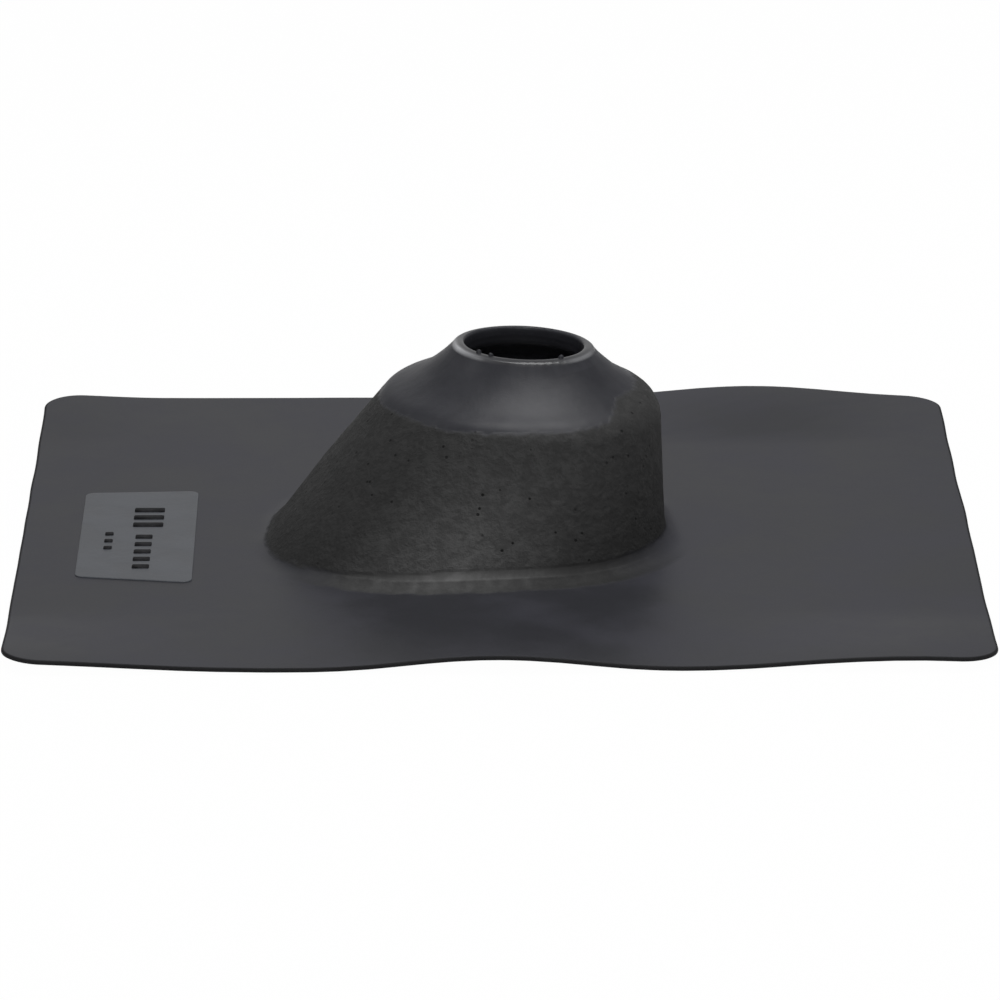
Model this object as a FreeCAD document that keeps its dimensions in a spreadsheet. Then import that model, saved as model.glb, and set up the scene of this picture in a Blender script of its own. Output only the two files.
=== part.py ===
import FreeCAD, Part
import math
import os
import re

import Sketcher

# Pipe flashing boot, moulded in one piece: a thin flange that laps into the roof
# covering, a hollow leaning boot on it, and a collar that grips the pipe.
# X runs up the roof slope, Y across it and Z away from the roof. The origin is
# the middle of the flange on its underside. Millimetres and degrees.

Vector = FreeCAD.Vector
TOUCH = 0.01    # how near an edge must lie to count as on a plane

SIZES = {
    # flange
    "flange_length": 355.6,
    "flange_width": 317.5,
    "sheet_thick": 1.6,
    "corner_round": 15.0,
    "level_margin": 19.5,       # level sheet between the boot and the wavy strips
    # foot of the boot at the underside, measured from below the collar
    "foot_down": 95.5,
    "foot_up": 51.5,
    "foot_half": 64.5,
    "foot_flat_down": 12.5,     # half the straight part of the down-slope end
    "foot_flat_up": 13.5,
    "foot_side": -4.0,          # the soft boot sits a little askew on its flange
    "foot_turn": 6.0,
    "foot_blend": 8.0,
    "mouth_round": 2.0,
    # walls
    "wall_thick": 2.8,
    "slant": 51.0,              # rise of the down-slope side
    "side_draft": 19.0,         # lean of the long sides from upright
    "neck_rise": 30.0,
    # shoulder, where wall and neck would meet without the rounding
    "shoulder_at": 10.6,
    "shoulder_level": 55.0,
    "shoulder_radius": 50.8,
    "shoulder_round": 11.0,
    # waist, the hollow of the neck
    "waist_rise": 7.6,
    "waist_flare": 9.3,
    # collar
    "collar_at": 10.3,
    "collar_rise": 9.5,
    "collar_depth": 6.4,
    "bore_radius": 22.25,
    "lip_wall": 4.45,
    "lip_step": 1.3,            # height of the lip above the neck
    "lip_round": 1.2,
    "brim_flare": 1.0,
    "crown_tilt": 2.5,          # lean of shoulder, neck and collar up the slope
    # panel for a label, raised near the down-slope edge of the flange
    "panel_inset": 21.9,
    "panel_side": -13.0,
    "panel_length": 43.4,
    "panel_width": 103.0,
    "panel_raise": 0.4,
    "panel_round_down": 3.0,
    "panel_round_up": 5.0,
    # two rows of plain bars on the panel
    "bar_raise": 0.3,
    "bar_width": 2.2,
    "bar_pitch": 4.6,
    "long_bar": 7.0,
    "long_bar_at": 1.5,
    "long_bar_from": -40.0,
    "long_bar_count": 17,
    "short_bar": 3.2,
    "short_bar_at": -12.5,
    "short_bar_from": -17.0,
    "short_bar_count": 5,
}

LEVEL_HALF = "(foot_half + foot_blend + level_margin)"
COLLAR_RADIUS = "(bore_radius + lip_wall)"
WAIST_LEVEL = "(shoulder_level + waist_rise)"
COLLAR_LEVEL = "(shoulder_level + waist_rise + collar_rise)"
PANEL_AT = "(panel_inset + panel_length / 2 - flange_length / 2)"

# Gentle lifts along the long edges of the flange:
# side of the flange, place along X, height at the edge, reach to either side.
LIFTS = [
    (-1, -1.0, 4.7, 65.0),
    (-1, 145.0, 3.9, 78.0),
    (-1, -177.0, 3.6, 85.0),
    (1, 102.0, 4.8, 68.0),
    (1, -170.0, 1.6, 34.0),
]

doc = FreeCAD.newDocument("flashing_boot")
sheet = doc.addObject("Spreadsheet::Sheet", "Sizes")
for row, (alias, value) in enumerate(SIZES.items(), start=1):
    sheet.set(f"A{row}", alias)
    sheet.set(f"B{row}", str(value))
    sheet.setAlias(f"B{row}", alias)
doc.recompute()


def size(alias):
    return float(sheet.get(alias))


def cell(word):
    return f"Sizes.{word}" if word in SIZES else word


def linked(text):
    """Expression in which each word of SIZES points at its cell in the sheet."""
    return re.sub(r"[a-z_]+", lambda word: cell(word.group()), text)


def bind(item, links):
    for path, text in links.items():
        item.setExpression(path, linked(text))


# Sketches

def sketch_on(body, name, role="XY_Plane"):
    sketch = body.newObject("Sketcher::SketchObject", name)
    plane = next(item for item in body.Origin.OriginFeatures if item.Role == role)
    sketch.AttachmentSupport = [(plane, "")]
    sketch.MapMode = "FlatFace"
    return sketch


def place(sketch, along, across, level, angle="0", axis=Vector(0, 1, 0)):
    sketch.AttachmentOffset = FreeCAD.Placement(Vector(0, 0, 0), FreeCAD.Rotation(axis, 1))
    bind(sketch, {
        "AttachmentOffset.Base.x": along,
        "AttachmentOffset.Base.y": across,
        "AttachmentOffset.Base.z": level,
        "AttachmentOffset.Rotation.Angle": angle,
    })


def dimension(sketch, name, text, *constraint):
    index = sketch.addConstraint(Sketcher.Constraint(*constraint))
    sketch.renameConstraint(index, name)
    bind(sketch, {f"Constraints.{name}": text})


def oblong(body, name, down, up, half, round_down, round_up):
    """Rectangle about the sketch's own X axis, rounded differently at each end."""
    sketch = sketch_on(body, name)
    reach, near, corner = 40.0, 20.0, 8.0       # first guesses, until the sheet's sizes act
    along, across = reach - corner, near - corner
    centres = [(along, across), (-along, across), (-along, -across), (along, -across)]
    arcs = []
    for turn, (x, y) in enumerate(centres):
        circle = Part.Circle(Vector(x, y, 0), Vector(0, 0, 1), corner)
        start = turn * math.pi / 2
        arcs.append(sketch.addGeometry(Part.ArcOfCircle(circle, start, start + math.pi / 2)))
    sides = []
    for arc, after in zip(arcs, arcs[1:] + arcs[:1]):
        begin = sketch.Geometry[arc].EndPoint
        end = sketch.Geometry[after].StartPoint
        side = sketch.addGeometry(Part.LineSegment(begin, end))
        sides.append(side)
        sketch.addConstraint(Sketcher.Constraint("Tangent", arc, 2, side, 1))
        sketch.addConstraint(Sketcher.Constraint("Tangent", side, 2, after, 1))
    sketch.addConstraint(Sketcher.Constraint("Horizontal", sides[0]))
    sketch.addConstraint(Sketcher.Constraint("Horizontal", sides[2]))
    sketch.addConstraint(Sketcher.Constraint("Vertical", sides[3]))
    sketch.addConstraint(Sketcher.Constraint("Equal", arcs[0], arcs[3]))
    sketch.addConstraint(Sketcher.Constraint("Equal", arcs[1], arcs[2]))
    sketch.addConstraint(Sketcher.Constraint("Symmetric", sides[1], 1, sides[1], 2, -1))
    dimension(sketch, "up", up, "DistanceX", -1, 1, sides[3], 1, reach)
    dimension(sketch, "down", down, "DistanceX", sides[1], 1, -1, 1, reach)
    dimension(sketch, "half", half, "DistanceY", -1, 1, sides[0], 1, near)
    dimension(sketch, "round_up", round_up, "Radius", arcs[0], corner)
    dimension(sketch, "round_down", round_down, "Radius", arcs[1], corner)
    return sketch


def ring(body, name, along, level, radius):
    """Circle on the boot's mid plane, leaning with the crown."""
    sketch = sketch_on(body, name)
    circle = sketch.addGeometry(Part.Circle(Vector(0, 0, 0), Vector(0, 0, 1), 10))
    sketch.addConstraint(Sketcher.Constraint("Coincident", circle, 3, -1, 1))
    dimension(sketch, "radius", radius, "Radius", circle, 10)
    place(sketch, along, "0", level, "crown_tilt")
    return sketch


# Features

def loft(body, kind, name, sections, ruled):
    feature = body.newObject(f"PartDesign::{kind}", name)
    feature.Profile = sections[0]
    feature.Sections = sections[1:]
    feature.Ruled = ruled
    doc.recompute()
    return feature


def pad(body, name, profile, length, downwards=False):
    feature = body.newObject("PartDesign::Pad", name)
    feature.Profile = profile
    feature.Reversed = downwards
    bind(feature, {"Length": length})
    doc.recompute()
    return feature


def fillet(body, name, base, wanted, radius):
    edges = [f"Edge{i}" for i, edge in enumerate(base.Shape.Edges, start=1) if wanted(edge)]
    feature = body.newObject("PartDesign::Fillet", name)
    feature.Base = (base, edges)
    bind(feature, {"Radius": radius})
    doc.recompute()
    return feature


def points_of(edge):
    first, last = edge.ParameterRange
    return [edge.valueAt(first + (last - first) * share) for share in (0.0, 0.35, 0.7)]


# Flange: a level middle band between two strips with gentle lifts

def bump(distance, reach):
    if abs(distance) >= reach:
        return 0.0
    return 0.5 + 0.5 * math.cos(math.pi * distance / reach)


def pole_places(count, low, high):
    """Places that make a clamped cubic spline run evenly from low to high."""
    spans = count - 3
    knots = [0.0] * 4 + [i / spans for i in range(1, spans)] + [1.0] * 4
    return [low + (high - low) * sum(knots[i + 1:i + 4]) / 3 for i in range(count)]


def wavy_strip(name, side):
    overlap = size("sheet_thick")
    half_width = size("flange_width") / 2
    half_length = size("flange_length") / 2 + overlap
    level = size("foot_half") + size("foot_blend") + size("level_margin")
    along = pole_places(27, -half_length, half_length)
    across = pole_places(9, level, half_width + overlap)
    poles = []
    for x in along:
        height = sum(lift * bump(x - at, reach) for edge, at, lift, reach in LIFTS
                     if edge == side)
        column = []
        for y in across:
            share = (y - level) / (half_width - level)
            rise = share * share * (3 - 2 * share) if y > across[2] else 0.0
            column.append(Vector(x, side * y, height * rise))
        poles.append(column)
    spans = [len(along) - 3, len(across) - 3]
    counts = [[4] + [1] * (span - 1) + [4] for span in spans]
    knots = [[i / span for i in range(span + 1)] for span in spans]
    surface = Part.BSplineSurface()
    surface.buildFromPolesMultsKnots(poles, *counts, *knots, False, False, 3, 3)
    strip = doc.addObject("Part::Feature", name)
    strip.Shape = surface.toShape().extrude(Vector(0, 0, size("sheet_thick")))
    return strip


band = doc.addObject("Part::Box", "LevelBand")
bind(band, {
    "Length": "flange_length + 2 * sheet_thick",
    "Width": f"2 * {LEVEL_HALF}",
    "Height": "sheet_thick",
    "Placement.Base.x": "-1 * flange_length / 2 - sheet_thick",
    "Placement.Base.y": f"-1 * {LEVEL_HALF}",
})
blank = doc.addObject("Part::MultiFuse", "SheetBlank")
blank.Shapes = [wavy_strip("FrontWave", -1), band, wavy_strip("BackWave", 1)]

trim = doc.addObject("PartDesign::Body", "SheetOutline")
trim_edge = oblong(trim, "FlangeEdge", "flange_length / 2", "flange_length / 2",
                   "flange_width / 2", "corner_round", "corner_round")
place(trim_edge, "0", "0", "-1 * sheet_thick")
pad(trim, "TrimDepth", trim_edge, "10 * sheet_thick")

flange = doc.addObject("Part::MultiCommon", "Flange")
flange.Shapes = [blank, trim]
doc.recompute()

# Boot: slanted wall from the foot to the shoulder, then the neck up to the collar

boot = doc.addObject("PartDesign::Body", "FlashingBoot")
boot.Label = "flashing_boot"
boot.BaseFeature = flange

foot = oblong(boot, "Foot", "foot_down", "foot_up", "foot_half",
              "foot_half - foot_flat_down", "foot_half - foot_flat_up")
place(foot, "collar_at", "foot_side", "0", "foot_turn", Vector(0, 0, 1))
shoulder = ring(boot, "Shoulder", "shoulder_at", "shoulder_level", "shoulder_radius")
waist = ring(boot, "Waist", "collar_at", WAIST_LEVEL, f"{COLLAR_RADIUS} + waist_flare")
brim = ring(boot, "Brim", "collar_at - lip_step * sin(crown_tilt)",
            f"{COLLAR_LEVEL} - lip_step * cos(crown_tilt)", f"{COLLAR_RADIUS} + brim_flare")
loft(boot, "AdditiveLoft", "Wall", [foot, shoulder], True)
neck = loft(boot, "AdditiveLoft", "Neck", [shoulder, waist, brim], False)


def at_shoulder(edge):
    lean = size("shoulder_radius") * math.sin(math.radians(size("crown_tilt"))) + TOUCH
    return all(abs(point.z - size("shoulder_level")) < lean for point in points_of(edge))


def around_boot(level):
    """Test for the edges at a level that lie within the flange's middle band."""
    reach = size("foot_half") + size("foot_blend") + size("level_margin") - TOUCH

    def wanted(edge):
        return all(abs(point.z - level) < TOUCH and abs(point.y) < reach
                   and abs(point.x) < size("flange_length") / 2 - TOUCH
                   for point in points_of(edge))
    return wanted


shoulder_round = fillet(boot, "ShoulderRound", neck, at_shoulder, "shoulder_round")
foot_blend = fillet(boot, "FootBlend", shoulder_round,
                    around_boot(size("sheet_thick")), "foot_blend")
collar_ring = ring(boot, "CollarRing", "collar_at", COLLAR_LEVEL, COLLAR_RADIUS)
pad(boot, "Collar", collar_ring, "collar_depth", downwards=True)

# Hollow of the boot, one wall inside the outer form, and the bore of the collar

inner_foot = oblong(boot, "InnerFoot", "foot_down - wall_thick / sin(slant)",
                    "foot_up - wall_thick", "foot_half - wall_thick / cos(side_draft)",
                    "foot_half - foot_flat_down - wall_thick",
                    "foot_half - foot_flat_up - wall_thick")
place(inner_foot, "collar_at", "foot_side", "0", "foot_turn", Vector(0, 0, 1))
inner_shoulder = ring(boot, "InnerShoulder", "shoulder_at",
                      "shoulder_level - wall_thick * (1 - sin(neck_rise)) / cos(neck_rise)",
                      "shoulder_radius - wall_thick")
inner_waist = ring(boot, "InnerWaist", "collar_at",
                   f"{WAIST_LEVEL} - wall_thick * cos(neck_rise)",
                   f"{COLLAR_RADIUS} + waist_flare - wall_thick * sin(neck_rise)")
inner_brim = ring(boot, "InnerBrim", "collar_at - collar_depth * sin(crown_tilt)",
                  f"{COLLAR_LEVEL} - collar_depth * cos(crown_tilt)",
                  f"{COLLAR_RADIUS} - wall_thick * sin(neck_rise)")
loft(boot, "SubtractiveLoft", "Hollow", [inner_foot, inner_shoulder], True)
loft(boot, "SubtractiveLoft", "Dome", [inner_shoulder, inner_waist, inner_brim], False)
bore = boot.newObject("PartDesign::Pocket", "Bore")
bore.Profile = ring(boot, "BoreRing", "collar_at", COLLAR_LEVEL, "bore_radius")
bind(bore, {"Length": "collar_depth + wall_thick"})
doc.recompute()


def at_lip(edge):
    tilt = math.radians(size("crown_tilt"))
    axis = Vector(math.sin(tilt), 0, math.cos(tilt))
    level = size("shoulder_level") + size("waist_rise") + size("collar_rise")
    top = Vector(size("collar_at"), 0, level)
    return all(abs((point - top).dot(axis)) < TOUCH for point in points_of(edge))


mouth_round = fillet(boot, "MouthRound", bore, around_boot(0.0), "mouth_round")
fillet(boot, "LipRound", mouth_round, at_lip, "lip_round")

# Panel for a label, with two rows of plain bars where a maker would put words

panel_outline = oblong(boot, "PanelOutline", "panel_length / 2", "panel_length / 2",
                       "panel_width / 2", "panel_round_down", "panel_round_up")
place(panel_outline, PANEL_AT, "panel_side", "0")
pad(boot, "Panel", panel_outline, "sheet_thick + panel_raise")


def bar_row(name, kind):
    """Row of bars along Y that starts at the panel's front end."""
    sketch = oblong(boot, f"{name}Outline", f"{kind} / 2", f"{kind} / 2", "bar_width / 2",
                    "bar_width / 4", "bar_width / 4")
    place(sketch, f"{PANEL_AT} + {kind}_at", f"panel_side + {kind}_from", "0")
    first = pad(boot, name, sketch, "sheet_thick + panel_raise + bar_raise")
    row = boot.newObject("PartDesign::LinearPattern", f"{name}Row")
    row.Originals = [first]
    row.Direction = (next(item for item in boot.Origin.OriginFeatures
                          if item.Role == "Y_Axis"), [""])
    bind(row, {
        "Occurrences": f"{kind}_count",
        "Length": f"bar_pitch * ({kind}_count - 1)",
    })
    boot.Tip = row
    doc.recompute()


bar_row("LongBar", "long_bar")
bar_row("ShortBar", "short_bar")

doc.recompute()
for item in doc.Objects:
    if "Invalid" in item.State or "Error" in item.State:
        raise RuntimeError(f"{item.Name} did not build")
if boot.Shape.isNull() or not boot.Shape.isValid() or len(boot.Shape.Solids) != 1:
    raise RuntimeError("the boot is not one valid solid")
os.makedirs("parts", exist_ok=True)
boot.Shape.exportStep(f"parts/{boot.Label}.step")
print(f"{boot.Label}: {boot.Shape.Volume / 1000:.1f} cm3, {len(boot.Shape.Faces)} faces")
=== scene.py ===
import math
import bpy
import bmesh
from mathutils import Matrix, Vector, noise
from mathutils.bvhtree import BVHTree


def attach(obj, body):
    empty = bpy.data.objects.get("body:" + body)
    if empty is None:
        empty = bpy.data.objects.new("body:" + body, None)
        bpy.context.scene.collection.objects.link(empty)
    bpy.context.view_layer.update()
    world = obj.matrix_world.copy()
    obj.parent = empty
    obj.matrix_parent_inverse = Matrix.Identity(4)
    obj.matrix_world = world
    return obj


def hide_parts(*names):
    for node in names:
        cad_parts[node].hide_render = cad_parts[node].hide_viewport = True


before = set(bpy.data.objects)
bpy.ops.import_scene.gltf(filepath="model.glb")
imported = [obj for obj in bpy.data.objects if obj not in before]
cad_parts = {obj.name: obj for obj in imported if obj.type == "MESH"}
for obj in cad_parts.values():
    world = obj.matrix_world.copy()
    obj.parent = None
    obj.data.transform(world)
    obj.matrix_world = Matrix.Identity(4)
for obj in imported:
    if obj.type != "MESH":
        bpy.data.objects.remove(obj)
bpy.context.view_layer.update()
print("frame loaded")

mm = 0.001
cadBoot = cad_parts["flashing_boot"]
black, white = (0, 0, 0, 1), (1, 1, 1, 1)


def clamp(value):
    return min(1, max(0, value))


def newPiece(name, data):
    piece = bpy.data.objects.new(name, data)
    bpy.context.scene.collection.objects.link(piece)
    return piece


def smoothMesh(work, name, material=None):
    # a bmesh as a smooth-shaded mesh
    mesh = bpy.data.meshes.new(name)
    work.to_mesh(mesh)
    work.free()
    mesh.shade_smooth()
    if material:
        mesh.materials.append(material)
    return mesh


class Wire:
    # a socket that takes part in sums
    def __init__(self, tree, socket):
        self.tree, self.socket = tree, socket

    def node(self, kind, settings=None, inputs=None, out=0):
        # any node: its settings first, then the values or links of its sockets
        made = self.tree.nodes.new(kind)
        for key, value in (settings or {}).items():
            setattr(made, key, value)
        for key, value in (inputs or {}).items():
            target = made.inputs[key]
            if isinstance(value, Wire):
                self.tree.links.new(value.socket, target)
            else:
                target.default_value = value
        return Wire(self.tree, made.outputs[out])

    def sum(self, operation, first, second):
        return self.node("ShaderNodeMath", {"operation": operation}, {0: first, 1: second})

    def __add__(self, other): return self.sum("ADD", self, other)
    def __radd__(self, other): return self.sum("ADD", other, self)
    def __sub__(self, other): return self.sum("SUBTRACT", self, other)
    def __rsub__(self, other): return self.sum("SUBTRACT", other, self)
    def __mul__(self, other): return self.sum("MULTIPLY", self, other)
    def __rmul__(self, other): return self.sum("MULTIPLY", other, self)
    def __truediv__(self, other): return self.sum("DIVIDE", self, other)
    def __rtruediv__(self, other): return self.sum("DIVIDE", other, self)

    def attribute(self, name):
        return self.node("ShaderNodeAttribute", {"attribute_name": name}, None, 2)

    def noise(self, size, detail=3.0, rough=0.5):
        return self.node("ShaderNodeTexNoise", None, {
            "Vector": self, "Scale": 1 / size, "Detail": detail, "Roughness": rough})

    def cells(self, size, feature, extra):
        return self.node("ShaderNodeTexVoronoi", {"feature": feature},
                         {"Vector": self, "Scale": 1 / size, **extra})

    def ramp(self, low, high):
        # 0 below low, 1 above high, eased between
        return self.node("ShaderNodeMapRange", {"clamp": True, "interpolation_type": "SMOOTHSTEP"}, {
            "Value": self, "From Min": low, "From Max": high, "To Min": 0.0, "To Max": 1.0})

    def blendTo(self, start, end):
        # colour from start to end as self goes from 0 to 1
        return self.node("ShaderNodeMix", {"data_type": "RGBA"}, {0: self, 6: start, 7: end}, 2)


def newMaterial(name):
    material = bpy.data.materials.new(name)
    material.use_nodes = True
    tree = material.node_tree
    coords = tree.nodes.new("ShaderNodeTexCoord")
    return material, tree.nodes["Principled BSDF"], Wire(tree, coords.outputs["Object"])


def feed(shader, name, wire):
    wire.tree.links.new(wire.socket, shader.inputs[name])


rubber = {
    "smoothShade": (0.0205, 0.021, 0.0255, 1),
    "smoothPale": (0.0288, 0.0291, 0.0368, 1),
    "neckShade": (0.0185, 0.019, 0.0235, 1),
    "neckPale": (0.033, 0.0335, 0.0395, 1),
    # near-black painted shade inside the walls' pits
    "pitPaintedShade": (0.004, 0.004, 0.004, 1),
    # painted shade: the dark colour of the flange's sheet edges and of the bore
    "paintedShadeColour": (0.006, 0.006, 0.007, 1),
    # the lip's colour at tone 0 and at tone 1; the lip's tone carries a painted highlight
    "lipShade": ((0, 0, 0.002, 1), (1, 1.01, 1.05, 1)),
    "smoothRough": 0.4,
    "lipRough": 0.27,
    "wallRough": 0.74,
    "shadedRowsRougher": 0.3,
    "bandRougher": 0.2,
    "specular": 0.26,
    "lipCoat": 0.35,
    "coatRough": 0.18,
    # sizes in metres
    "cloudSize": 0.05,
    "mottleSize": 0.0045,
    "pebbleSize": 0.0021,
    "grainSize": 0.0006,
    "peelSize": 0.0017,
    "streakSize": 0.006,
    "streakFlat": (1, 1, 0.25),
    "pitSpread": 0.0054,
    "pitEdge": (0.07, 0.14),
    "patchSize": 0.028,
    "patchEdge": (0.46, 0.53),
    # the tones over which the neck's painted light and shade ramps
    "neckLightRange": (0.012, 0.038),
    # how far noise is stretched to fill 0 to 1
    "cloudEdge": (0.38, 0.66),
    "mottleEdge": (0.36, 0.66),
    "streakEdge": (0.35, 0.65),
    # shares: of clouds, streaks and painted light and shade in the neck's colour; plain and mottled in the
    # walls' colour
    "neckShares": (0.25, 0.3, 0.5),
    "wallShares": (0.83, 0.34),
    "cloudRougher": 0.07,
    "grainRougher": 0.05,
    # heights in the bump: pebbles, peel and mottle on the walls, grain everywhere and on the walls
    "wallBumps": (0.9, 0.5, 0.8),
    "grainBumps": (0.1, 0.3),
    "streakBump": 0.5,
    "pitBump": 1.8,
    "bumpStrength": 0.5,
    "bumpDepth": 0.0006,
}


def makeRubber():
    material, shader, coords = newMaterial("mouldedRubber")
    wall, shadedRows, lip, neck, tone, band = (coords.attribute(name) for name in maskNames)
    clouds = coords.noise(rubber["cloudSize"], 4.0, 0.55).ramp(*rubber["cloudEdge"])
    mottle = coords.noise(rubber["mottleSize"], 5.0, 0.68).ramp(*rubber["mottleEdge"])
    pebble = coords.noise(rubber["pebbleSize"], 2.0, 0.55)
    grain = coords.noise(rubber["grainSize"], 2.0, 0.6)
    peel = coords.cells(rubber["peelSize"], "SMOOTH_F1", {"Smoothness": 0.6})
    flat = coords.node("ShaderNodeMapping", None, {"Vector": coords, "Scale": rubber["streakFlat"]})
    streaks = flat.noise(rubber["streakSize"])
    # small pits of trapped air, only on the grained walls; their near-black colour is painted shade inside them
    spots = 1 - coords.cells(rubber["pitSpread"], "F1", {"Randomness": 1.0}).ramp(*rubber["pitEdge"])
    pits = spots * coords.noise(rubber["patchSize"], 2.0).ramp(*rubber["patchEdge"]) * wall

    smooth = clouds.blendTo(rubber["smoothShade"], rubber["smoothPale"])
    cloudShare, streakShare, toneShare = rubber["neckShares"]
    uneven = clouds * cloudShare + streaks.ramp(*rubber["streakEdge"]) * streakShare
    # painted light and shade on the neck: paler at the front, darker to its right
    uneven = uneven + tone.ramp(*rubber["neckLightRange"]) * toneShare
    smooth = neck.blendTo(smooth, uneven.blendTo(rubber["neckShade"], rubber["neckPale"]))
    plain, mottled = rubber["wallShares"]
    # the walls' colour carries painted light and shade: paler low at the front, darker towards the sides and
    # the foot's corners
    walls = (tone * (plain + mottled * mottle)).blendTo(black, white)
    # the foot's band takes the walls' colour, which carries painted light, darker to the right
    colour = wall.sum("MAXIMUM", wall, band).blendTo(smooth, walls)
    # painted shade darkens the pits
    colour = pits.blendTo(colour, rubber["pitPaintedShade"])
    # painted highlight: pale arcs on the lip's outer half
    colour = lip.blendTo(colour, tone.blendTo(*rubber["lipShade"]))
    # painted shade on the flange's sheet edges and in the bore
    feed(shader, "Base Color", shadedRows.blendTo(colour, rubber["paintedShadeColour"]))

    rough = rubber["smoothRough"] + clouds * rubber["cloudRougher"] + grain * rubber["grainRougher"]
    rough = rough + shadedRows * rubber["shadedRowsRougher"]
    rough = rough + wall * (rubber["wallRough"] - rubber["smoothRough"])
    rough = rough - lip * (rubber["smoothRough"] - rubber["lipRough"])
    feed(shader, "Roughness", rough + band * (1 - wall) * rubber["bandRougher"])
    feed(shader, "Coat Weight", lip * rubber["lipCoat"])
    shader.inputs["Specular IOR Level"].default_value = rubber["specular"]
    shader.inputs["Coat Roughness"].default_value = rubber["coatRough"]

    pebbleBump, peelBump, mottleBump = rubber["wallBumps"]
    height = (pebble * pebbleBump + peel * peelBump + mottle * mottleBump) * wall
    height = height + grain * (rubber["grainBumps"][0] + wall * rubber["grainBumps"][1])
    height = height + streaks * neck * rubber["streakBump"] - pits * rubber["pitBump"]
    feed(shader, "Normal", coords.node("ShaderNodeBump", None, {
        "Height": height, "Strength": rubber["bumpStrength"], "Distance": rubber["bumpDepth"]}))
    return material


padFinish = {
    "shade": (0.054, 0.058, 0.066, 1),
    "pale": (0.072, 0.077, 0.087, 1),
    "rough": 0.34,
    "cloudRougher": 0.08,
    "grainRougher": 0.05,
    "specular": 0.3,
    "cloudSize": 0.02,
    "cloudBump": 2.0,
    "bumpStrength": 0.25,
    "bumpDepth": 0.0002,
}


def makePadRubber():
    material, shader, coords = newMaterial("padRubber")
    clouds = coords.noise(padFinish["cloudSize"]).ramp(*rubber["streakEdge"])
    grain = coords.noise(rubber["grainSize"], 2.0)
    feed(shader, "Base Color", clouds.blendTo(padFinish["shade"], padFinish["pale"]))
    feed(shader, "Roughness", padFinish["rough"] + clouds * padFinish["cloudRougher"]
         + grain * padFinish["grainRougher"])
    shader.inputs["Specular IOR Level"].default_value = padFinish["specular"]
    feed(shader, "Normal", coords.node("ShaderNodeBump", None, {
        "Height": grain + clouds * padFinish["cloudBump"],
        "Strength": padFinish["bumpStrength"], "Distance": padFinish["bumpDepth"]}))
    return material


barFinish = {
    "shade": (0.007, 0.007, 0.008, 1),
    "pale": (0.019, 0.019, 0.021, 1),
    "rough": 0.6,
    "cloudRougher": 0.15,
    "specular": 0.08,
    "cloudSize": 0.003,
}


def makeBarRubber():
    material, shader, coords = newMaterial("barRubber")
    clouds = coords.noise(barFinish["cloudSize"]).ramp(*rubber["streakEdge"])
    feed(shader, "Base Color", clouds.blendTo(barFinish["shade"], barFinish["pale"]))
    feed(shader, "Roughness", barFinish["rough"] + clouds * barFinish["cloudRougher"])
    shader.inputs["Specular IOR Level"].default_value = barFinish["specular"]
    return material


# grain on the walls, painted shade on the sheet's edges and in the bore, glossy lip, neck, painted light and
# shade on the walls, neck, band and lip, band at the foot
maskNames = ("wallMask", "trimMask", "lipMask", "neckMask", "wallTone", "bandMask")
bootRubber = makeRubber()
padRubber = makePadRubber()
barRubber = makeBarRubber()
print("materials made")


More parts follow.
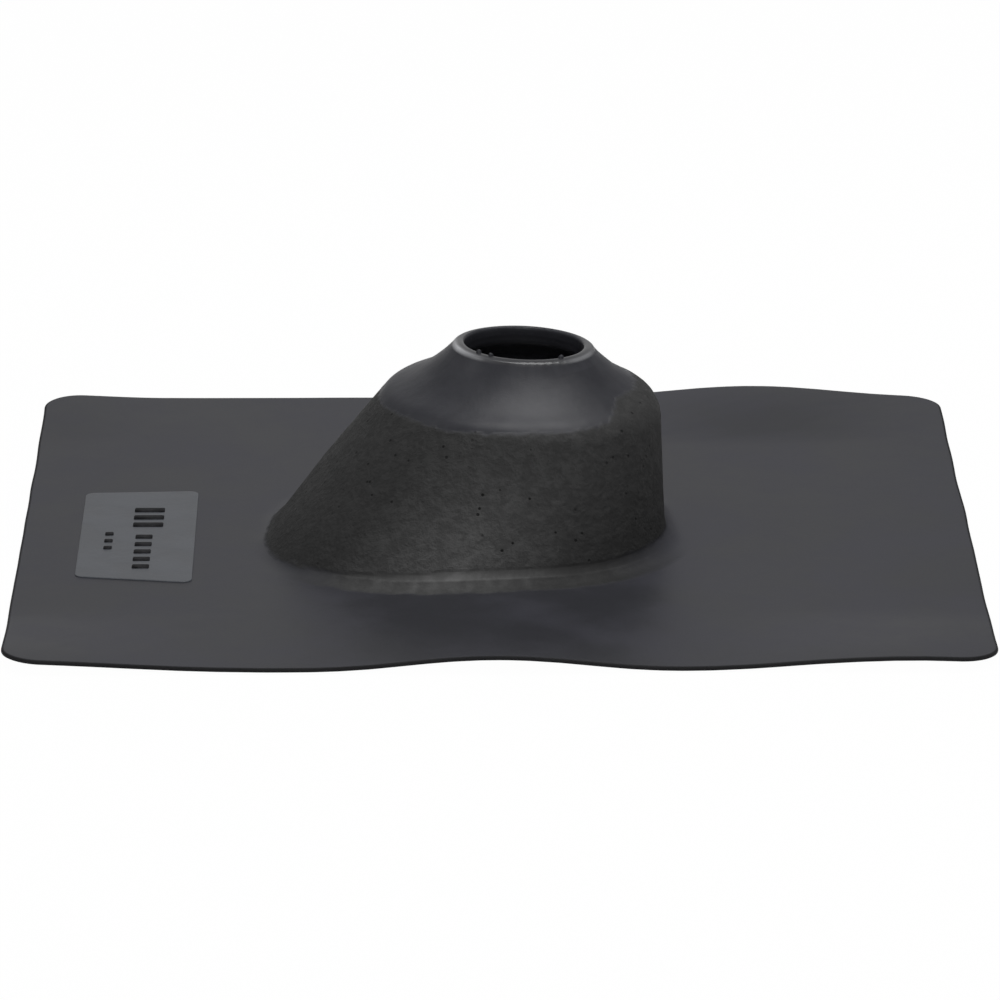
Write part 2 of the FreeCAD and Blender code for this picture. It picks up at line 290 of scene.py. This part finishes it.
# the boot with its flange is one closed skin, laid round the moulding in rings; in mm and degrees
boot = {
    "columns": 420,
    "footCentre": (-22.0, -4.0),
    "spineTop": 55,
    "collarCentre": (10.3, 0.0, 72.1),
    "collarLean": 2.5,
    "boreRadius": 22.25,
    "lipWall": 4.45,
    "halfLength": 177.8,
    "halfWidth": 158.75,
    "cornerRound": 15.0,
    # how many times closer the columns are round the flange's corners
    "cornerShare": 3.0,
    "sheetThick": 1.6,
    "trimWave": 0.5,
    "waveSize": 34,
    # where rays start: outside the walls, below the flange, above the foot
    "rayOut": 102,
    "rayBelow": -60,
    "rayAbove": 200,
    # flange edge: inset from the outline, drop from the top face; and the same for the closing rows
    "edgeRows": ((0.0, 0.95), (0.0, 0.55), (0.18, 0.2), (0.5, 0.03), (1.1, 0.0)),
    "closeRows": ((0.4, 0.03), (0.12, 0.2), (0.0, 0.5)),
    "edgeInset": 1.2,
    "flangeInset": 2.2,
    "underInset": 1.1,
    "flangeRows": 26,
    "flangeEase": 0.85,
    "underRows": 8,
    "footLevel": 4.0,
    "footRing": 10.5,
    "filletGaps": (9.0, 7.4, 6.0, 4.8, 3.7, 2.8, 1.9, 1.1, 0.5),
    # runs of levels up the wall: from, to, step
    "wallRuns": ((4.0, 44.0, 0.9), (44.0, 56.0, 0.62), (56.0, 67.6, 0.5)),
    "innerLevels": (62.5, 60.5, 58.5, 56.5, 54.5, 52, 49, 45, 40, 35, 30, 25, 20, 15, 10, 6, 3),
    "mouthGaps": (0.6, 1.6, 3.0),
    # where the grain stops under the neck: angle round the boot, height
    "grainTop": ((-180, 52.5), (-145, 54.4), (-122, 53.4), (-90, 54.0), (-62, 53.4), (-50, 54.2),
                 (-42, 56.6), (-33, 58.6), (0, 57.5), (60, 54.5), (120, 54.0), (180, 52.5)),
    # where it ends above the foot: angle, height
    "grainFoot": ((-180, 2.3), (-150, 2.4), (-128, 3.4), (-108, 5.6), (-90, 6.6), (0, 6.6), (90, 6.4),
                  (135, 3.0), (180, 2.3)),
    "lumpHeight": 0.3,
    "lumpSize": 7.0,
    "grainHeight": 0.09,
    "grainSize": 2.6,
    "proud": 0.15,
    # the down-slope front corner of the foot stands out a little: angle, millimetres
    "footPush": ((-180, 0.8), (-167, 3.8), (-150, 3.9), (-135, 3.5), (-115, 1.0), (-95, 0), (125, 0),
                 (150, -2.6), (165, -1.8), (180, 0.8)),
    "pushFrom": 2,
    "pushLevel": 24.0,
    # painted light and shade, as how pale the rubber is: angle, shade; low and high on the walls, on the neck,
    # on the foot's band
    "wallLightShadeLow": ((-180, 0.026), (-150, 0.017), (-128, 0.016), (-108, 0.055), (-88, 0.108), (-70, 0.07),
                (-52, 0.023), (-35, 0.0135), (0, 0.018), (90, 0.028), (180, 0.026)),
    "wallLightShadeHigh": ((-180, 0.028), (-150, 0.026), (-125, 0.025), (-100, 0.036), (-85, 0.04), (-60, 0.036),
                 (-40, 0.028), (0, 0.028), (90, 0.03), (180, 0.028)),
    # the neck's painted light and shade
    "neckLightShade": ((-180, 0.024), (-150, 0.03), (-122, 0.026), (-98, 0.036), (-78, 0.034), (-58, 0.016),
                 (-36, 0.012), (-16, 0.028), (0, 0.036), (90, 0.026), (180, 0.024)),
    # painted light on the foot's band, darker to the right
    "bandLightShade": ((-180, 0.024), (-135, 0.026), (-112, 0.034), (-92, 0.046), (-78, 0.04), (-60, 0.021),
                 (-40, 0.014), (-10, 0.018), (90, 0.026), (180, 0.024)),
    # where the foot has its rough band: angle, share
    "bandShare": ((-180, 0), (-138, 0), (-118, 1), (-45, 1), (-15, 0), (180, 0)),
    "bandWidth": 8.4,
    "bandTop": 40,
    "bandFade": 1.6,
    "bandGrain": 0.35,
    "neckLevel": 46,
    "neckFade": 3,
    "toneEase": 0.8,
    # the low ridge over the grain's upper edge: height, distance above the edge, half width, lean
    "ridge": (0.3, 1.7, 1.4, (0.5, 0.85)),
    # how fast the grain's edges fade: on the fillet, up to the neck, down to the foot
    "grainFades": (0.8, 0.9, 1.2),
    # wandering of edges and shades: pace round the boot, size
    "filletWander": (0.21, 0.4),
    "wallWander": (0.21, 0.7),
    "bandWander": (0.16, 1.8),
    "shadeWander": (0.31, 0.14),
    "ridgeWander": (0.13, 0.8),
    "ridgeLeast": 0.6,
    # its pace up the wall and down the fillet, and how much of it the foot's edge has
    "wanderUp": 0.4,
    "wanderDown": 0.6,
    "wanderFoot": 0.7,
    "lipAngles": (-4, 14, 30, 42, 50, 57, 65, 78, 90, 102, 115, 123, 130, 138, 150, 166, 184),
    "lipDepth": 2.6,
    "lipReach": 7.5,
    # rise at the lip's inner and outer edge, each at the front and at the back
    "lipRise": (1.8, 0.7),
    "lipEdge": (0.95, -0.5),
    "lipBow": 1.3,
    # how far under the lip's top its rise fades out: start, length
    "lipFade": (1.2, 2.4),
    # how pale the lip's outer half is, a painted highlight, and how much of the lip is glossy: angle, share
    "lipHighlight": ((-180, 0.18), (-162, 0.36), (-143, 0.22), (-124, 0.06), (-104, 0.03), (-88, 0.05),
                (-72, 0.03), (-57, 0.045), (-44, 0.13), (-24, 0.15), (-6, 0.08), (12, 0.03), (90, 0.012),
                (165, 0.05), (180, 0.18)),
    "lipGloss": ((-180, 1), (0, 1), (35, 0), (145, 0), (180, 1)),
    "lipPlain": 0.026,
    # on the fan of lip angles: the run of painted highlight, where its paler foot ends and its share, the
    # glossy run
    "highlightRun": (40, 77),
    "halfHighlight": (90, 0.3),
    "glossRun": (45, 150),
    # the neck's hollow curve: lowest level, depth; and the fan angle on the lip where it ends
    "neckFrom": 64.4,
    "neckHollow": 0.45,
    "lipOuter": 50,
    "boreDepths": (3.6, 4.7, 5.9),
    # how much painted shade the bore takes
    "boreShadeShare": 0.3,
    # evening out: rows above the fillet's first, passes round the boot, passes up the wall
    "evenFrom": 2,
    "evenRound": 14,
    "evenUp": 4,
}

lean = math.radians(boot["collarLean"])
collarAxis = Vector((math.sin(lean), 0, math.cos(lean)))
collarAcross = Vector((math.cos(lean), 0, -math.sin(lean)))
collarTop = Vector(boot["collarCentre"])

skin = bmesh.new()
skin.from_mesh(cadBoot.data)
bmesh.ops.remove_doubles(skin, verts=skin.verts, dist=1e-6)
cadTree = BVHTree.FromBMesh(skin)
skin.free()


def hit(start, direction):
    # first point of the moulding along a ray; a ray along an edge is tried again beside it
    way = Vector(direction).normalized()
    for nudge in (0, 0.004, -0.004, 0.011, -0.011):
        origin = Vector(start) + Vector((nudge, nudge * 0.7, nudge * 0.4))
        found = cadTree.ray_cast(origin * mm, way, 1)[0]
        if found:
            return found / mm
    return None


def hitUp(x, y):
    return hit((x, y, boot["rayBelow"]), (0, 0, 1))


def steps(low, high, gap):
    count = max(1, round((high - low) / gap))
    return [low + (high - low) * i / count for i in range(count)]


def spine(level):
    # middle of the boot at a level
    share = clamp(level / boot["spineTop"])
    footX, footY = boot["footCentre"]
    return Vector((footX + (boot["collarCentre"][0] - footX) * share, footY * (1 - share), level))


def outlinePoint(share, inset=0.0):
    # rounded rectangle, with more points round its corners
    radius, weight = boot["cornerRound"], boot["cornerShare"]
    halfX, halfY = boot["halfLength"] - radius, boot["halfWidth"] - radius
    arc = math.pi / 2 * radius * weight
    # straight runs have a start and a way, corners a centre and a first angle
    runs = [("line", halfY, (halfX + radius, 0), (0, 1)), ("arc", arc, (halfX, halfY), 0),
            ("line", 2 * halfX, (halfX, halfY + radius), (-1, 0)), ("arc", arc, (-halfX, halfY), 90),
            ("line", 2 * halfY, (-halfX - radius, halfY), (0, -1)), ("arc", arc, (-halfX, -halfY), 180),
            ("line", 2 * halfX, (-halfX, -halfY - radius), (1, 0)), ("arc", arc, (halfX, -halfY), 270),
            ("line", halfY, (halfX + radius, -halfY), (0, 1))]
    left = share * sum(run[1] for run in runs)
    for run in runs:
        kind, length, at, way = run
        if left <= length or run is runs[-1]:
            break
        left -= length
    if kind == "line":
        x, y = at[0] + way[0] * left, at[1] + way[1] * left
        outX, outY = way[1], -way[0]
    else:
        turn = math.radians(way + 90 * left / length)
        outX, outY = math.cos(turn), math.sin(turn)
        x, y = at[0] + outX * radius, at[1] + outY * radius
    wave = boot["trimWave"] * noise.noise(Vector((x, y, 3)) / boot["waveSize"]) - boot["trimWave"] * 0.2
    return x + outX * (wave - inset), y + outY * (wave - inset)


def inRun(angle, name):
    return boot[name][0] < angle < boot[name][1]


def alongKnots(knots, degrees):
    for (a, low), (b, high) in zip(knots, knots[1:]):
        if a <= degrees <= b:
            return low + (high - low) * (degrees - a) / (b - a)
    return knots[0][1]


class Column:
    # one line of points from the flange's edge over the boot, through the bore and back under
    def __init__(self, index):
        self.index, self.share = index, index / boot["columns"]
        turn = 2 * math.pi * index / boot["columns"]
        self.degrees = math.degrees(turn) if turn <= math.pi else math.degrees(turn) - 360
        self.way = Vector((math.cos(turn), math.sin(turn), 0))
        # away from the collar's axis, and how far to the front: 1 there, 0 at the back
        self.radial = collarAcross * math.cos(turn) + Vector((0, math.sin(turn), 0))
        self.front = (1 - math.sin(turn)) / 2
        self.points, self.masks = [], []
        self.foot = self.outer(boot["footLevel"])
        self.bulge = self.knot("footPush")
        self.under = hitUp(*outlinePoint(self.share, boot["edgeInset"])).z

    def add(self, point, **shares):
        self.points.append(point)
        self.masks.append([shares.get(name, 0) for name in maskNames])

    def knot(self, name):
        return alongKnots(boot[name], self.degrees)

    def wander(self, name, second, third):
        # a smooth drift from one column to the next; the last two values pick the drift
        pace, size = boot[name]
        return size * noise.noise(Vector((self.index * pace, second, third)))

    def outer(self, level):
        return hit(spine(level) + self.way * boot["rayOut"], -self.way)

    def inner(self, level):
        return hit(spine(level), self.way)

    def pushed(self, point):
        fade = 1 - max(0, point.z - boot["pushFrom"]) / boot["pushLevel"]
        return point + self.way * self.bulge * max(0, fade)

    def layFlange(self):
        # the sheet's edge rows take painted shade
        for inset, drop in boot["edgeRows"]:
            x, y = outlinePoint(self.share, inset)
            self.add(Vector((x, y, self.under + boot["sheetThick"] - drop)), trimMask=1 if drop else 0)
        near = self.foot + self.way * (boot["footRing"] + self.bulge)
        farX, farY = outlinePoint(self.share, boot["flangeInset"])
        for row in range(boot["flangeRows"]):
            out = 1 - (row / (boot["flangeRows"] - 1)) ** boot["flangeEase"]
            x, y = near.x + (farX - near.x) * out, near.y + (farY - near.y) * out
            self.add(Vector((x, y, hitUp(x, y).z + boot["sheetThick"])))

    def layFillet(self):
        # the fillet's tone: painted light on the foot's band, with a random drift
        low, shade, share = self.knot("wallLightShadeLow"), self.knot("bandLightShade"), self.knot("bandShare")
        for gap in boot["filletGaps"]:
            place = self.foot + self.way * gap
            point = hit((place.x, place.y, boot["rayAbove"]), (0, 0, -1))
            ground = self.knot("grainFoot") + self.wander("filletWander", gap, 0)
            grained = clamp((point.z - ground) / boot["grainFades"][0])
            band = boot["bandWidth"] - gap + self.wander("bandWander", 2, 0)
            band = share * clamp(band / boot["bandFade"])
            shade *= 1 + self.wander("shadeWander", gap * boot["wanderDown"], 7)
            self.add(self.pushed(point), wallMask=max(grained, boot["bandGrain"] * band), bandMask=band,
                     wallTone=low * grained + shade * (1 - grained))

    def layWall(self):
        low, high, neck = self.knot("wallLightShadeLow"), self.knot("wallLightShadeHigh"), self.knot("neckLightShade")
        ceiling, ground, share = self.knot("grainTop"), self.knot("grainFoot"), self.knot("bandShare")
        height, distance, width, (out, rise) = boot["ridge"]
        ridge = height * (boot["ridgeLeast"] + self.wander("ridgeWander", 5, 0))
        for level in wallLevels:
            jitter = self.wander("wallWander", level * boot["wanderUp"], 0)
            above = (level - ceiling - jitter - distance) / width
            swell = ridge * math.exp(-above * above)
            up = clamp((ceiling + jitter - level) / boot["grainFades"][1])
            down = clamp((level - ground - jitter * boot["wanderFoot"]) / boot["grainFades"][2])
            # painted light and shade on the wall, turning into the neck's above the grain
            tone = low + (high - low) * min(1, level / boot["neckLevel"]) ** boot["toneEase"]
            self.add(self.pushed(self.outer(level)) + (self.way * out + Vector((0, 0, rise))) * swell,
                     wallMask=up * down, neckMask=clamp((level - boot["neckLevel"]) / boot["neckFade"]),
                     wallTone=tone + (neck - tone) * (1 - up), bandMask=share if level < boot["bandTop"] else 0)

    def layLip(self):
        # a fan of rays on to the lip's section, from outside over the top and into the bore
        section = collarTop + self.radial * (boot["boreRadius"] + boot["lipWall"] / 2)
        section -= collarAxis * boot["lipDepth"]
        rise, edge = (boot[name][1] + (boot[name][0] - boot[name][1]) * self.front
                      for name in ("lipRise", "lipEdge"))
        fadeStart, fadeLength = boot["lipFade"]
        for angle in boot["lipAngles"]:
            turn = math.radians(angle)
            fan = self.radial * math.cos(turn) + collarAxis * math.sin(turn)
            spot = hit(section + fan * boot["lipReach"], -fan)
            out = ((spot - collarTop).dot(self.radial) - boot["boreRadius"]) / boot["lipWall"]
            lift = rise + (edge - rise) * clamp(out) ** boot["lipBow"]
            depth = clamp(1 + ((spot - collarTop).dot(collarAxis) + fadeStart) / fadeLength)
            # share of painted highlight on the lip's outer half
            pale = 1 if inRun(angle, "highlightRun") else boot["halfHighlight"][1] if angle < boot["halfHighlight"][0] else 0
            self.add(spot + collarAxis * lift * depth, neckMask=1,
                     lipMask=self.knot("lipGloss") if inRun(angle, "glossRun") else 0,
                     wallTone=boot["lipPlain"] + (self.knot("lipHighlight") - boot["lipPlain"]) * pale)

    def hollowNeck(self):
        # the neck runs up to the lip's edge in one hollow curve
        low = lipFirst - len([level for level in wallLevels if level > boot["neckFrom"]])
        rim = lipFirst + boot["lipAngles"].index(boot["lipOuter"])
        start, end = self.points[low], self.points[rim]
        bend = (start + end) / 2 - self.radial * boot["neckHollow"] * 2
        for row in range(low + 1, rim):
            share = (row - low) / (rim - low)
            self.points[row] = (start * (1 - share) ** 2 + bend * 2 * share * (1 - share)
                                + end * share ** 2)

    def layInside(self):
        # the bore's rows take some painted shade
        for depth in boot["boreDepths"]:
            self.add(collarTop - collarAxis * depth + self.radial * boot["boreRadius"],
                     trimMask=boot["boreShadeShare"])
        for level in boot["innerLevels"]:
            self.add(self.inner(level), trimMask=boot["boreShadeShare"])
        mouth = self.points[-1]
        for gap in boot["mouthGaps"]:
            place = mouth + self.way * gap
            self.add(hitUp(place.x, place.y))
        near = mouth + self.way * boot["mouthGaps"][-1]
        farX, farY = outlinePoint(self.share, boot["underInset"])
        for row in range(1, boot["underRows"] + 1):
            out = row / boot["underRows"]
            x, y = near.x + (farX - near.x) * out, near.y + (farY - near.y) * out
            self.add(Vector((x, y, hitUp(x, y).z)))
        # the closing rows under the edge take painted shade
        for inset, rise in boot["closeRows"]:
            x, y = outlinePoint(self.share, inset)
            self.add(Vector((x, y, self.under + rise)), trimMask=1)


def smoothRings(columns, first, last, passes, along):
    # evens out the frame's facets, along the rings or up the wall
    count = len(columns)
    for _ in range(passes):
        old = [[point.copy() for point in column.points[first - 1:last + 1]] for column in columns]
        for i in range(count):
            before, here, after = old[i - 1], old[i], old[(i + 1) % count]
            for r in range(1, last - first + 1):
                if along:
                    mean = (before[r] + after[r]) / 2
                else:
                    mean = (here[r - 1] + here[r + 1]) / 2 if r < last - first else here[r]
                columns[i].points[first - 1 + r] = (here[r] + mean) / 2


wallLevels = [level for run in boot["wallRuns"] for level in steps(*run)]
filletFirst = len(boot["edgeRows"]) + boot["flangeRows"]
lipFirst = filletFirst + len(boot["filletGaps"]) + len(wallLevels)
columns = [Column(index) for index in range(boot["columns"])]
for column in columns:
    column.layFlange()
    column.layFillet()
    column.layWall()
    column.layLip()
    column.hollowNeck()
    column.layInside()
print("rings laid:", len(columns), "x", len(columns[0].points))
smoothRings(columns, filletFirst + boot["evenFrom"], lipFirst, boot["evenRound"], True)
smoothRings(columns, filletFirst + boot["evenFrom"], lipFirst, boot["evenUp"], False)
print("rings evened")


def buildSkin(columns):
    count, rows = len(columns), len(columns[0].points)
    faces = []
    for i in range(count):
        here, beside = i * rows, (i + 1) % count * rows
        for r in range(rows):
            up = (r + 1) % rows
            faces.append((here + r, beside + r, beside + up, here + up))
    mesh = bpy.data.meshes.new("bootSkin")
    mesh.from_pydata([point * mm for column in columns for point in column.points], [], faces)
    for n, name in enumerate(maskNames):
        layer = mesh.attributes.new(name, "FLOAT", "POINT")
        layer.data.foreach_set("value", [mask[n] for column in columns for mask in column.masks])
    mesh.shade_smooth()
    work = bmesh.new()
    work.from_mesh(mesh)
    if work.calc_volume(signed=True) < 0:
        bmesh.ops.reverse_faces(work, faces=work.faces)
    work.to_mesh(mesh)
    work.free()
    mesh.materials.append(bootRubber)
    return newPiece("bootSkin", mesh)


def newTree(name, inputs):
    # a Geometry Nodes tree with named inputs; gives the tree, its input wires and the identifiers
    tree = bpy.data.node_groups.new(name, "GeometryNodeTree")
    tree.interface.new_socket("Geometry", in_out="INPUT", socket_type="NodeSocketGeometry")
    tree.interface.new_socket("Geometry", in_out="OUTPUT", socket_type="NodeSocketGeometry")
    identifiers = {}
    for label, kind in inputs.items():
        socket = tree.interface.new_socket(label, in_out="INPUT", socket_type="NodeSocket" + kind)
        identifiers[label] = socket.identifier
    entry = tree.nodes.new("NodeGroupInput")
    wires = {socket.name: Wire(tree, socket) for socket in entry.outputs if socket.name}
    return tree, wires, identifiers


def endTree(tree, shape, material):
    real = shape.node("GeometryNodeRealizeInstances", None, {"Geometry": shape})
    done = real.node("GeometryNodeSetMaterial", None, {"Geometry": real, "Material": material})
    last = tree.nodes.new("NodeGroupOutput")
    tree.links.new(done.socket, last.inputs[0])


def bake(piece, tree, identifiers, values):
    # runs the tree on the piece once and keeps the result as a plain mesh
    modifier = piece.modifiers.new(tree.name, "NODES")
    modifier.node_group = tree
    for label, value in values.items():
        modifier[identifiers[label]] = value
    bpy.context.view_layer.update()
    result = bpy.data.meshes.new_from_object(piece.evaluated_get(bpy.context.evaluated_depsgraph_get()))
    piece.modifiers.remove(modifier)
    piece.data = result
    result.name = piece.name


def grainTree():
    # lifts the grained walls along their normals by low lumps
    tree, wires, identifiers = newTree("wallGrain", {
        "Material": "Material", "Lump Size": "Float", "Lump Height": "Float",
        "Grain Size": "Float", "Grain Height": "Float", "Proud": "Float"})
    geometry = wires["Geometry"]
    place = geometry.node("GeometryNodeInputPosition")
    normal = geometry.node("GeometryNodeInputNormal")
    mask = geometry.node("GeometryNodeInputNamedAttribute", {"data_type": "FLOAT"}, {"Name": "wallMask"})
    lumps = geometry.node("ShaderNodeTexNoise", None, {
        "Vector": place, "Scale": 1 / wires["Lump Size"], "Detail": 2.0})
    grains = geometry.node("ShaderNodeTexNoise", None, {
        "Vector": place, "Scale": 1 / wires["Grain Size"], "Detail": 1.0})
    lift = (lumps - 0.5) * wires["Lump Height"] + (grains - 0.5) * wires["Grain Height"] + wires["Proud"]
    offset = geometry.node("ShaderNodeVectorMath", {"operation": "SCALE"},
                           {0: normal, "Scale": lift * mask})
    moved = geometry.node("GeometryNodeSetPosition", None, {"Geometry": geometry, "Offset": offset})
    endTree(tree, moved, wires["Material"])
    return tree, identifiers


bootSkin = buildSkin(columns)
bake(bootSkin, *grainTree(), {
    "Material": bootRubber, "Lump Size": boot["lumpSize"] * mm, "Lump Height": boot["lumpHeight"] * mm,
    "Grain Size": boot["grainSize"] * mm, "Grain Height": boot["grainHeight"] * mm,
    "Proud": boot["proud"] * mm})
print("skin grained:", len(bootSkin.data.polygons), "faces")


# a smooth pad with three rows of plain bars; in mm
pad = {
    "corners": ((-156.2, 37.9), (-113.2, 39.9), (-112.4, -66.2), (-155.9, -59.2)),
    "cornerRound": 3.5,
    "cornerSteps": 6,
    "under": 1.3,
    "top": 2.0,
    "edgeRound": 0.35,
    "edgeTurns": (0.4, 0.8, 1.2, 1.57),
    "faceInset": 1.2,
    # each row: middle, first bar, count, pitch, bar length and width
    "rows": ((-132.0, -48.5, 5, 8.5, 6.4, 4.3), (-131.0, -0.5, 3, 8.6, 11.4, 4.7),
             (-145.1, -27.0, 3, 8.0, 3.2, 3.6)),
    "barUnder": 1.7,
    "barTop": 2.3,
    "barRound": 0.25,
}


def outward(side, inward):
    # a side's normal that points out of the pad
    normal = Vector((side.y, -side.x))
    return -normal if normal.dot(inward) > 0 else normal


def padLoop(inset, level):
    # loop of points round the pad
    points = []
    corners, radius = pad["corners"], pad["cornerRound"]
    for i, corner in enumerate(corners):
        here = Vector(corner)
        back = (Vector(corners[i - 1]) - here).normalized()
        ahead = (Vector(corners[(i + 1) % len(corners)]) - here).normalized()
        inward = (back + ahead).normalized()
        centre = here + inward * (radius / math.sin(back.angle(ahead) / 2))
        start = outward(back, inward)
        sweep = start.angle_signed(outward(ahead, inward))
        for k in range(pad["cornerSteps"] + 1):
            angle = -sweep * k / pad["cornerSteps"]
            turned = Vector((start.x * math.cos(angle) - start.y * math.sin(angle),
                             start.x * math.sin(angle) + start.y * math.cos(angle)))
            points.append((centre + turned * (radius - inset)).to_3d() + Vector((0, 0, level)))
    return points


def makePad():
    work = bmesh.new()
    soft, top = pad["edgeRound"], pad["top"]
    profile = [(0.0, pad["under"]), (0.0, top - soft)]
    profile += [(soft * (1 - math.cos(a)), top - soft * (1 - math.sin(a))) for a in pad["edgeTurns"]]
    profile += [(pad["faceInset"], top)]
    loops = [[work.verts.new(point * mm) for point in padLoop(*spot)] for spot in profile]
    for low, high in zip(loops, loops[1:]):
        for i in range(len(low)):
            j = (i + 1) % len(low)
            work.faces.new((low[i], low[j], high[j], high[i]))
    work.faces.new(loops[0][::-1])
    work.faces.new(loops[-1])
    bmesh.ops.recalc_face_normals(work, faces=work.faces)
    return newPiece("smoothPad", smoothMesh(work, "boardPad", padRubber))


def barPiece(length, width):
    # one bar about its own middle, with soft edges except underneath
    work = bmesh.new()
    bmesh.ops.create_cube(work, size=1.0)
    high = pad["barTop"] - pad["barUnder"]
    for vert in work.verts:
        vert.co = Vector((vert.co.x * length, vert.co.y * width, (vert.co.z + 0.5) * high)) * mm
    soft = [edge for edge in work.edges if max(vert.co.z for vert in edge.verts) > high / 2 * mm]
    bmesh.ops.bevel(work, geom=soft, offset=pad["barRound"] * mm, segments=3, affect="EDGES")
    return newPiece("bar", smoothMesh(work, "bar"))


def barTree():
    tree, wires, identifiers = newTree("barRow", {
        "Material": "Material", "Bar": "Object", "Count": "Int", "Start": "Vector", "Pitch": "Float"})
    geometry = wires["Geometry"]
    step = geometry.node("ShaderNodeCombineXYZ", None, {"Y": wires["Pitch"]})
    line = geometry.node("GeometryNodeMeshLine", {"mode": "OFFSET"}, {
        "Count": wires["Count"], "Start Location": wires["Start"], "Offset": step})
    bar = geometry.node("GeometryNodeObjectInfo", None, {"Object": wires["Bar"]}, 4)
    row = geometry.node("GeometryNodeInstanceOnPoints", None, {"Points": line, "Instance": bar})
    endTree(tree, row, wires["Material"])
    return tree, identifiers


smoothPad = makePad()
rowTree = barTree()
barRows = []
for n, (x, y, count, pitch, length, width) in enumerate(pad["rows"]):
    bar = barPiece(length, width)
    row = newPiece("barRow%d" % (n + 1), bpy.data.meshes.new("barRow"))
    bake(row, *rowTree, {
        "Material": barRubber, "Bar": bar, "Count": count,
        "Start": (x * mm, y * mm, pad["barUnder"] * mm), "Pitch": pitch * mm})
    bpy.data.objects.remove(bar)
    barRows.append(row)
print("pad and bars made")


# flash left on the lip; in mm and degrees
nubs = {
    "angles": (-137, -123, -54),
    "radius": 23.0,
    "level": 73.5,
    "size": 1.05,
    "rough": 0.25,
    "stretch": (1, 0.8, 1.15),
}


def makeNubs():
    work = bmesh.new()
    for n, angle in enumerate(nubs["angles"]):
        turn = math.radians(angle)
        x, y = math.cos(turn) * nubs["radius"], math.sin(turn) * nubs["radius"]
        spot = Vector((collarTop.x + x * math.cos(lean), y, nubs["level"] - x * math.sin(lean)))
        made = bmesh.ops.create_icosphere(work, subdivisions=3, radius=nubs["size"] * mm)
        for vert in made["verts"]:
            rough = 1 + nubs["rough"] * noise.noise(vert.co / mm * 1.3 + Vector((n * 9, 0, 0)))
            vert.co = vert.co * rough * Vector(nubs["stretch"]) + spot * mm
    return newPiece("lipFlash", smoothMesh(work, "lipFlash", bootRubber))


lipFlash = makeNubs()

for piece in (bootSkin, smoothPad, lipFlash, *barRows):
    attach(piece, "root")
    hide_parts("flashing_boot")
print("pieces seated")


# lamps: name, watts, size and place in metres; the camera's distance and target are in mm
studio = {
    "floorSize": 6.0,
    "floorGap": 0.4,
    "floorShade": (0.8, 0.8, 0.8, 1),
    "floorWhite": 0.985,
    "worldLight": 0.24,
    "lamps": (("topSoftbox", 13.0, 0.9, (0.2, 0.1, 1.3)), ("leftSoftbox", 0.9, 0.35, (-1.0, 0.1, 1.0)),
              ("rightSoftbox", 0.7, 0.3, (0.9, 0.1, 1.1)), ("frontSoftbox", 6.0, 0.7, (0.05, -1.5, 0.8)),
              ("backSoftbox", 2.4, 1.5, (-0.25, 2.2, 0.62))),
    "azimuth": -0.55,
    "elevation": 18.5,
    "distance": 2549,
    "lens": 243.97,
    "target": (1.4, 0, 11.3),
}


def emptyTree(owner):
    # clears the owner's nodes; gives its tree and the camera-ray mask
    owner.use_nodes = True
    tree = owner.node_tree
    tree.nodes.clear()
    return tree, Wire(tree, tree.nodes.new("ShaderNodeLightPath").outputs["Is Camera Ray"])


def finishTree(tree, kind, wire):
    tree.links.new(wire.socket, tree.nodes.new(kind).inputs["Surface"])


def makeFloor():
    size, level = studio["floorSize"], -studio["floorGap"] * mm
    mesh = bpy.data.meshes.new("floor")
    mesh.from_pydata([(-size, -size, level), (size, -size, level), (size, size, level), (-size, size, level)],
                     [], [(0, 1, 2, 3)])
    floor = newPiece("floor", mesh)
    material = bpy.data.materials.new("floorPaper")
    tree, seen = emptyTree(material)
    plain = seen.node("ShaderNodeBsdfDiffuse", None, {"Color": studio["floorShade"]})
    bright = seen.node("ShaderNodeEmission", None, {"Color": white, "Strength": 1.0})
    finishTree(tree, "ShaderNodeOutputMaterial", seen.node(
        "ShaderNodeMixShader", None, {0: seen * studio["floorWhite"], 1: plain, 2: bright}))
    mesh.materials.append(material)


def makeLight():
    world = bpy.data.worlds.new("studio")
    bpy.context.scene.world = world
    tree, seen = emptyTree(world)
    strength = seen * (1 - studio["worldLight"]) + studio["worldLight"]
    finishTree(tree, "ShaderNodeOutputWorld", seen.node(
        "ShaderNodeBackground", None, {"Color": white, "Strength": strength}))
    for name, power, size, place in studio["lamps"]:
        lamp = bpy.data.lights.new(name, "AREA")
        lamp.energy, lamp.size = power, size
        holder = newPiece(name, lamp)
        holder.location = place
        holder.rotation_euler = (-Vector(place)).to_track_quat("-Z", "Y").to_euler()


def makeCamera():
    azimuth, elevation = math.radians(studio["azimuth"]), math.radians(studio["elevation"])
    way = Vector((math.sin(azimuth) * math.cos(elevation), -math.cos(azimuth) * math.cos(elevation),
                  math.sin(elevation)))
    camera = newPiece("camera", bpy.data.cameras.new("camera"))
    camera.data.lens, camera.data.sensor_width = studio["lens"], 36
    camera.location = (Vector(studio["target"]) + way * studio["distance"]) * mm
    camera.rotation_euler = way.to_track_quat("Z", "Y").to_euler()
    bpy.context.scene.camera = camera


makeFloor()
makeLight()
makeCamera()
bpy.context.scene.view_settings.view_transform = "Standard"
print("studio set")
